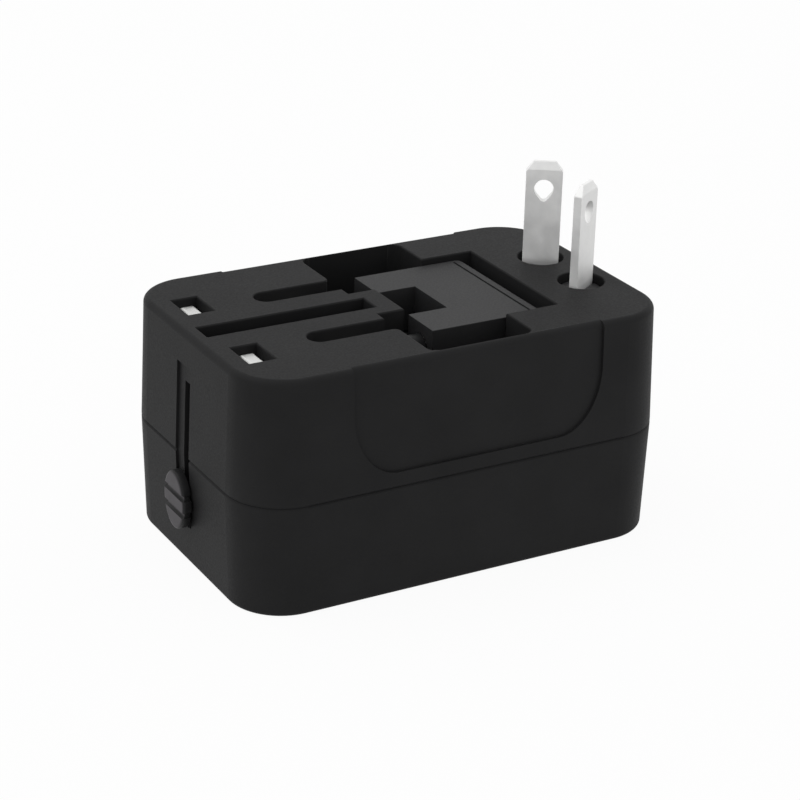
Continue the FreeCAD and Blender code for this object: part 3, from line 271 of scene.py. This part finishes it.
def soften(node, width, segments=2):
    """Rounds the sharp edges of a CAD node by a small radius, without touching its mesh."""
    clean_faces(node)
    bevel = node.modifiers.new("edge", "BEVEL")
    bevel.width = width
    bevel.segments = segments
    bevel.limit_method = "ANGLE"
    bevel.angle_limit = math.radians(28)
    bevel.harden_normals = False
    bevel.use_clamp_overlap = True
    bevel.miter_outer = "MITER_ARC"
    smooth_by_angle(node)


def soft_rims(node, low, high, half_width, radius):
    """Rounds a CAD node's sharp edges between two heights and within a distance from the middle."""
    clean_faces(node)
    tree = bpy.data.node_groups.new("rims_" + node.name, "GeometryNodeTree")
    tree.interface.new_socket("Geometry", in_out="INPUT", socket_type="NodeSocketGeometry")
    tree.interface.new_socket("Geometry", in_out="OUTPUT", socket_type="NodeSocketGeometry")
    source = tree.nodes.new("NodeGroupInput")
    target = tree.nodes.new("NodeGroupOutput")
    apart = tree.nodes.new("ShaderNodeSeparateXYZ")
    link(tree, tree.nodes.new("GeometryNodeInputPosition").outputs["Position"], apart.inputs["Vector"])
    sideways = tree.nodes.new("ShaderNodeMath")
    sideways.operation = "ABSOLUTE"
    link(tree, apart.outputs["Y"], sideways.inputs[0])
    turn = tree.nodes.new("GeometryNodeInputMeshEdgeAngle").outputs["Unsigned Angle"]
    weight = None
    tests = ((apart.outputs["Z"], "GREATER_THAN", low), (apart.outputs["Z"], "LESS_THAN", high),
             (sideways.outputs[0], "LESS_THAN", half_width), (turn, "GREATER_THAN", math.radians(40)))
    for value, operation, limit in tests:
        test = tree.nodes.new("ShaderNodeMath")
        test.operation = operation
        link(tree, value, test.inputs[0])
        test.inputs[1].default_value = limit
        if weight is None:
            weight = test.outputs[0]
            continue
        both = tree.nodes.new("ShaderNodeMath")
        both.operation = "MULTIPLY"
        link(tree, weight, both.inputs[0])
        link(tree, test.outputs[0], both.inputs[1])
        weight = both.outputs[0]
    store = tree.nodes.new("GeometryNodeStoreNamedAttribute")
    store.data_type = "FLOAT"
    store.domain = "EDGE"
    store.inputs["Name"].default_value = "rim"
    link(tree, source.outputs["Geometry"], store.inputs["Geometry"])
    link(tree, weight, store.inputs["Value"])
    link(tree, store.outputs["Geometry"], target.inputs["Geometry"])
    marked = node.modifiers.new("rims", "NODES")
    marked.node_group = tree
    bevel = node.modifiers.new("rim", "BEVEL")
    bevel.limit_method = "WEIGHT"
    bevel.edge_weight = "rim"
    bevel.width = radius
    bevel.segments = 3
    bevel.use_clamp_overlap = False
    bevel.loop_slide = False
    smooth_by_angle(node)


def smooth_by_angle(node):
    """Shades gently turning faces smooth and keeps sharp edges sharp."""
    normals = node.modifiers.new("normals", "WEIGHTED_NORMAL")
    normals.keep_sharp = True
    normals.weight = 60


def paint(names, material):
    for name in names:
        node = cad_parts[name]
        slots = node.data.materials
        if not slots:
            slots.append(material)
        for index in range(len(slots)):
            slots[index] = material


def mesh_piece(name, mesh_builder, material, body):
    """A new piece made with bmesh that rides on a body."""
    mesh = bpy.data.meshes.new(name)
    bm = bmesh.new()
    mesh_builder(bm)
    bmesh.ops.recalc_face_normals(bm, faces=bm.faces)
    bm.to_mesh(mesh)
    bm.free()
    piece = bpy.data.objects.new(name, mesh)
    bpy.context.scene.collection.objects.link(piece)
    mesh.materials.append(material)
    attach(piece, body)


def add_box(bm, low, high):
    """Box between two corners, with a small chamfer along its edges."""
    size = Vector(high) - Vector(low)
    made = bmesh.ops.create_cube(bm, size=1)["verts"]
    bmesh.ops.scale(bm, vec=size, verts=made)
    bmesh.ops.translate(bm, vec=(Vector(low) + Vector(high)) / 2, verts=made)
    edges = {edge for vert in made for edge in vert.link_edges}
    bmesh.ops.bevel(bm, geom=list(edges), offset=min(size) * 0.18, segments=1, affect="EDGES")


def port_contacts(material):
    """Contact strips on each charging port's tongue."""
    for name in ("usb_port_front", "usb_port_back"):
        low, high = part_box(name)
        face = high.x - PORT_SHEET - TONGUE_GAP - TONGUE_THICKNESS
        middle = (low.y + high.y) / 2
        start = low.z + CONTACT_START

        def strips(bm):
            for offset in CONTACT_OFFSETS:
                y = middle + offset
                add_box(bm, (face - CONTACT_PROUD, y - CONTACT_WIDTH / 2, start),
                        (face + CONTACT_PROUD, y + CONTACT_WIDTH / 2, start + CONTACT_LENGTH))

        mesh_piece(name.replace("port", "contacts"), strips, material, "housing")


def transformer_winding(material):
    """Turns of wire that show in the windows of the transformer's core."""
    low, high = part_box("transformer")
    length = high.x - low.x - 2 * WINDING_SIDE
    turns = int((high.z - low.z - 2 * WINDING_YOKE) / (2 * WIRE_RADIUS))
    lying = Matrix.Rotation(math.pi / 2, 3, "Y")

    def wires(bm):
        for y in (low.y + WINDING_SUNK, high.y - WINDING_SUNK):
            for turn in range(turns):
                z = low.z + WINDING_YOKE + (2 * turn + 1) * WIRE_RADIUS
                made = bmesh.ops.create_cone(bm, segments=12, radius1=WIRE_RADIUS, radius2=WIRE_RADIUS,
                                             depth=length, cap_ends=True)["verts"]
                bmesh.ops.rotate(bm, cent=(0, 0, 0), matrix=lying, verts=made)
                bmesh.ops.translate(bm, vec=((low.x + high.x) / 2, y, z), verts=made)

    mesh_piece("transformer_winding", wires, material, "housing")


def small_parts(body_material, cap_material):
    """Chip resistors and capacitors on the charger board, each with two plated ends."""
    low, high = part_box("power_board")
    half = SMALL_PART_WIDTH / 2
    places = [((low.x + high.x) / 2 + x * MM, (low.y + high.y) / 2 + y * MM, length * MM / 2)
              for x, y, length in SMALL_PARTS]

    def bodies(bm):
        for x, y, reach in places:
            add_box(bm, (x - reach * 0.72, y - half * 0.96, high.z),
                    (x + reach * 0.72, y + half * 0.96, high.z + SMALL_PART_HEIGHT * 0.95))

    def caps(bm):
        for x, y, reach in places:
            for side in (-1, 1):
                x0, x1 = sorted((x + side * reach, x + side * reach * 0.7))
                add_box(bm, (x0, y - half, high.z), (x1, y + half, high.z + SMALL_PART_HEIGHT))

    mesh_piece("board_parts", bodies, body_material, "housing")
    mesh_piece("board_part_ends", caps, cap_material, "housing")


def camera():
    azimuth = math.radians(CAMERA_AZIMUTH)
    elevation = math.radians(CAMERA_ELEVATION)
    roll = math.radians(CAMERA_ROLL)
    away = Vector((math.sin(azimuth) * math.cos(elevation), -math.cos(azimuth) * math.cos(elevation),
                   math.sin(elevation)))
    forward = -away
    level = forward.cross(Vector((0, 0, 1))).normalized()
    upright = level.cross(forward)
    right = math.cos(roll) * level + math.sin(roll) * upright
    up = -math.sin(roll) * level + math.cos(roll) * upright
    data = bpy.data.cameras.new("camera")
    data.sensor_width = CAMERA_SENSOR
    data.lens = CAMERA_LENS
    data.clip_start = 0.01
    data.clip_end = 20
    eye = bpy.data.objects.new("camera", data)
    bpy.context.scene.collection.objects.link(eye)
    turn = Matrix((right, up, away)).transposed()
    eye.matrix_world = Matrix.Translation(CAMERA_PLACE) @ turn.to_4x4()
    bpy.context.scene.camera = eye


def area_light(name, place, aim, size, power):
    data = bpy.data.lights.new(name, "AREA")
    data.shape = "RECTANGLE"
    data.size, data.size_y = size
    data.energy = power
    lamp = bpy.data.objects.new(name, data)
    bpy.context.scene.collection.objects.link(lamp)
    lamp.location = place
    lamp.rotation_mode = "QUATERNION"
    lamp.rotation_quaternion = (Vector(aim) - Vector(place)).to_track_quat("-Z", "Y")


def any_ray(tree, *outputs):
    """1 for the named kinds of ray, else 0."""
    path = tree.nodes.new("ShaderNodeLightPath")
    total = path.outputs[outputs[0]]
    for name in outputs[1:]:
        most = tree.nodes.new("ShaderNodeMath")
        most.operation = "MAXIMUM"
        link(tree, total, most.inputs[0])
        link(tree, path.outputs[name], most.inputs[1])
        total = most.outputs[0]
    return total


def studio():
    world = bpy.data.worlds.new("studio")
    bpy.context.scene.world = world
    world.use_nodes = True
    tree = world.node_tree
    background = tree.nodes["Background"]
    seen = any_ray(tree, "Is Camera Ray", "Is Glossy Ray", "Is Transmission Ray")
    background.inputs["Color"].default_value = (1, 1, 1, 1)
    link(tree, ramp_between(tree, seen, WORLD_LIGHT, 1.0, 0, 1), background.inputs["Strength"])

    mesh = bpy.data.meshes.new("floor")
    half = FLOOR_SIZE / 2
    mesh.from_pydata([(-half, -half, 0), (half, -half, 0), (half, half, 0), (-half, half, 0)], [],
                     [(0, 1, 2, 3)])
    floor = bpy.data.objects.new("floor", mesh)
    bpy.context.scene.collection.objects.link(floor)
    material = bpy.data.materials.new("floor")
    material.use_nodes = True
    tree = material.node_tree
    tree.nodes.clear()
    matte = tree.nodes.new("ShaderNodeBsdfDiffuse")
    matte.inputs["Color"].default_value = (*FLOOR_COLOUR, 1)
    glow = tree.nodes.new("ShaderNodeEmission")
    clear = tree.nodes.new("ShaderNodeBsdfTransparent")
    seen_mix = tree.nodes.new("ShaderNodeMixShader")
    seen = any_ray(tree, "Is Camera Ray", "Is Glossy Ray", "Is Transmission Ray")
    link(tree, ramp_between(tree, seen, 0, FLOOR_GLOW, 0, 1), seen_mix.inputs["Fac"])
    link(tree, matte.outputs[0], seen_mix.inputs[1])
    link(tree, glow.outputs[0], seen_mix.inputs[2])
    side_mix = tree.nodes.new("ShaderNodeMixShader")
    side = tree.nodes.new("ShaderNodeNewGeometry")
    link(tree, side.outputs["Backfacing"], side_mix.inputs["Fac"])
    link(tree, seen_mix.outputs[0], side_mix.inputs[1])
    link(tree, clear.outputs[0], side_mix.inputs[2])
    output = tree.nodes.new("ShaderNodeOutputMaterial")
    link(tree, side_mix.outputs[0], output.inputs["Surface"])
    mesh.materials.append(material)

    area_light("key", KEY_PLACE, KEY_AIM, KEY_SIZE, KEY_POWER)


def finish_nodes():
    """Materials and softened edges of the CAD nodes."""
    housing = moulded("black_moulding", BLACK_MOULDING, roughness=0.52, gloss=0.07)
    paint(["upper_shell", "lower_shell"], housing)
    paint(["eu_flap_frame"], moulded("flap_moulding", FLAP_MOULDING, roughness=0.55, gloss=0.27))
    # Sliders get painted light on their faces across X and painted shade on their sides
    paint(["uk_slider_button", "us_slider_button"],
          painted_light_moulding("slider_painted_light", SLIDER_PAINTED_LIT_FACE, SLIDER_PAINTED_SHADED_SIDE, roughness=0.5))
    paint(["uk_earth_pin", "eu_pin_sleeves"],
          moulded("pin_moulding", PIN_MOULDING, roughness=0.38, depth=0.004 * MM, gloss=0.2))
    paint(["us_turret_far", "us_turret_near"],
          moulded("turret_moulding", CARRIAGE_MOULDING, roughness=0.42))
    paint(["uk_carriage", "us_carriage", "us_turret_cover"],
          moulded("carriage_moulding", CARRIAGE_MOULDING, roughness=0.5))
    paint(["socket_core"], moulded("core_moulding", CORE_MOULDING, roughness=0.6))
    paint(["safety_shutter"], moulded("shutter_moulding", SHUTTER_MOULDING, roughness=0.45))
    paint(["uk_pin_live", "uk_pin_neutral"], plated("nickel_plate", NICKEL, 0.30))
    # Blades: brighter nickel colour as painted light
    paint(["us_blade_far", "us_blade_near"], plated("nickel_satin_painted_bright", SATIN_NICKEL_PAINTED_BRIGHT, 0.68))
    paint(["eu_pin_live", "eu_pin_neutral"], plated("nickel_round", NICKEL, 0.28, along=0))
    alloy = plated("contact_alloy", CONTACT_ALLOY, 0.34)
    paint(["contact_live", "contact_neutral", "contact_earth", "uk_feed_springs", "eu_feed_springs",
           "us_wipers", "us_feed_rails", "fuse_clips"], alloy)
    paint(["earth_pin_axle", "eu_hinge_pin", "shutter_springs", "uk_slide_detent", "earth_pin_detent",
           "usb_port_front", "usb_port_back"], plated("bright_steel", STEEL, 0.30, along=1))
    paint(["case_screws"], plated("dark_steel", DARK_STEEL, 0.36))
    paint(["power_board", "usb_board"], laminate("board_laminate"))
    paint(["transformer"], moulded("ferrite", FERRITE, roughness=0.62))
    paint(["smoothing_capacitors"],
          moulded("can_sleeve", CAN_SLEEVE, roughness=0.3, depth=0.002 * MM))
    paint(["control_chip"], moulded("chip_moulding", CHIP_MOULDING, roughness=0.5))
    paint(["usb_tongues"], moulded("tongue_moulding", TONGUE_MOULDING, roughness=0.4))
    low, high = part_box("fuse")
    paint(["fuse"], fuse_material("fuse_body", low.x, high.x, FUSE_CAP))
    port_contacts(alloy)
    transformer_winding(plated("winding_enamel", WINDING, 0.35, along=0))
    small_parts(moulded("part_moulding", PART_MOULDING, roughness=0.4, depth=0.002 * MM),
                plated("part_ends", STEEL, 0.3))

    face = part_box("upper_shell")[1].z
    soft_rims(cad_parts["upper_shell"], face - RIM_BAND, face + RIM_BAND, SHELL_RIM_SIDE, SHELL_RIM)
    soft_rims(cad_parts["lower_shell"], -RIM_BAND, RIM_BAND, SOCKET_RIM_SIDE, SOCKET_RIM)
    for name in ("eu_flap_frame", "uk_earth_pin"):
        soften(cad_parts[name], FOLDING_EDGE)
    for name in ("us_blade_far", "us_blade_near"):
        soften(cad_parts[name], BLADE_EDGE, segments=3)
    for name in ("uk_pin_live", "uk_pin_neutral"):
        soften(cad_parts[name], PIN_EDGE)
    for name in ("uk_slider_button", "us_slider_button"):
        soften(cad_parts[name], SLIDER_EDGE)


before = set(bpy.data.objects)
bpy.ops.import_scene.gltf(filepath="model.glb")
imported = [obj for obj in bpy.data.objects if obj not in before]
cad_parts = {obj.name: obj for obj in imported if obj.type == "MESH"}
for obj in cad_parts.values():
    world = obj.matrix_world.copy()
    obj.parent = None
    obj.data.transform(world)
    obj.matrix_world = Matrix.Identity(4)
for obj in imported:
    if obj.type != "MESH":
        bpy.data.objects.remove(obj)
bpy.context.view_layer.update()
bpy.context.scene.view_settings.view_transform = "Standard"
finish_nodes()
studio()
camera()
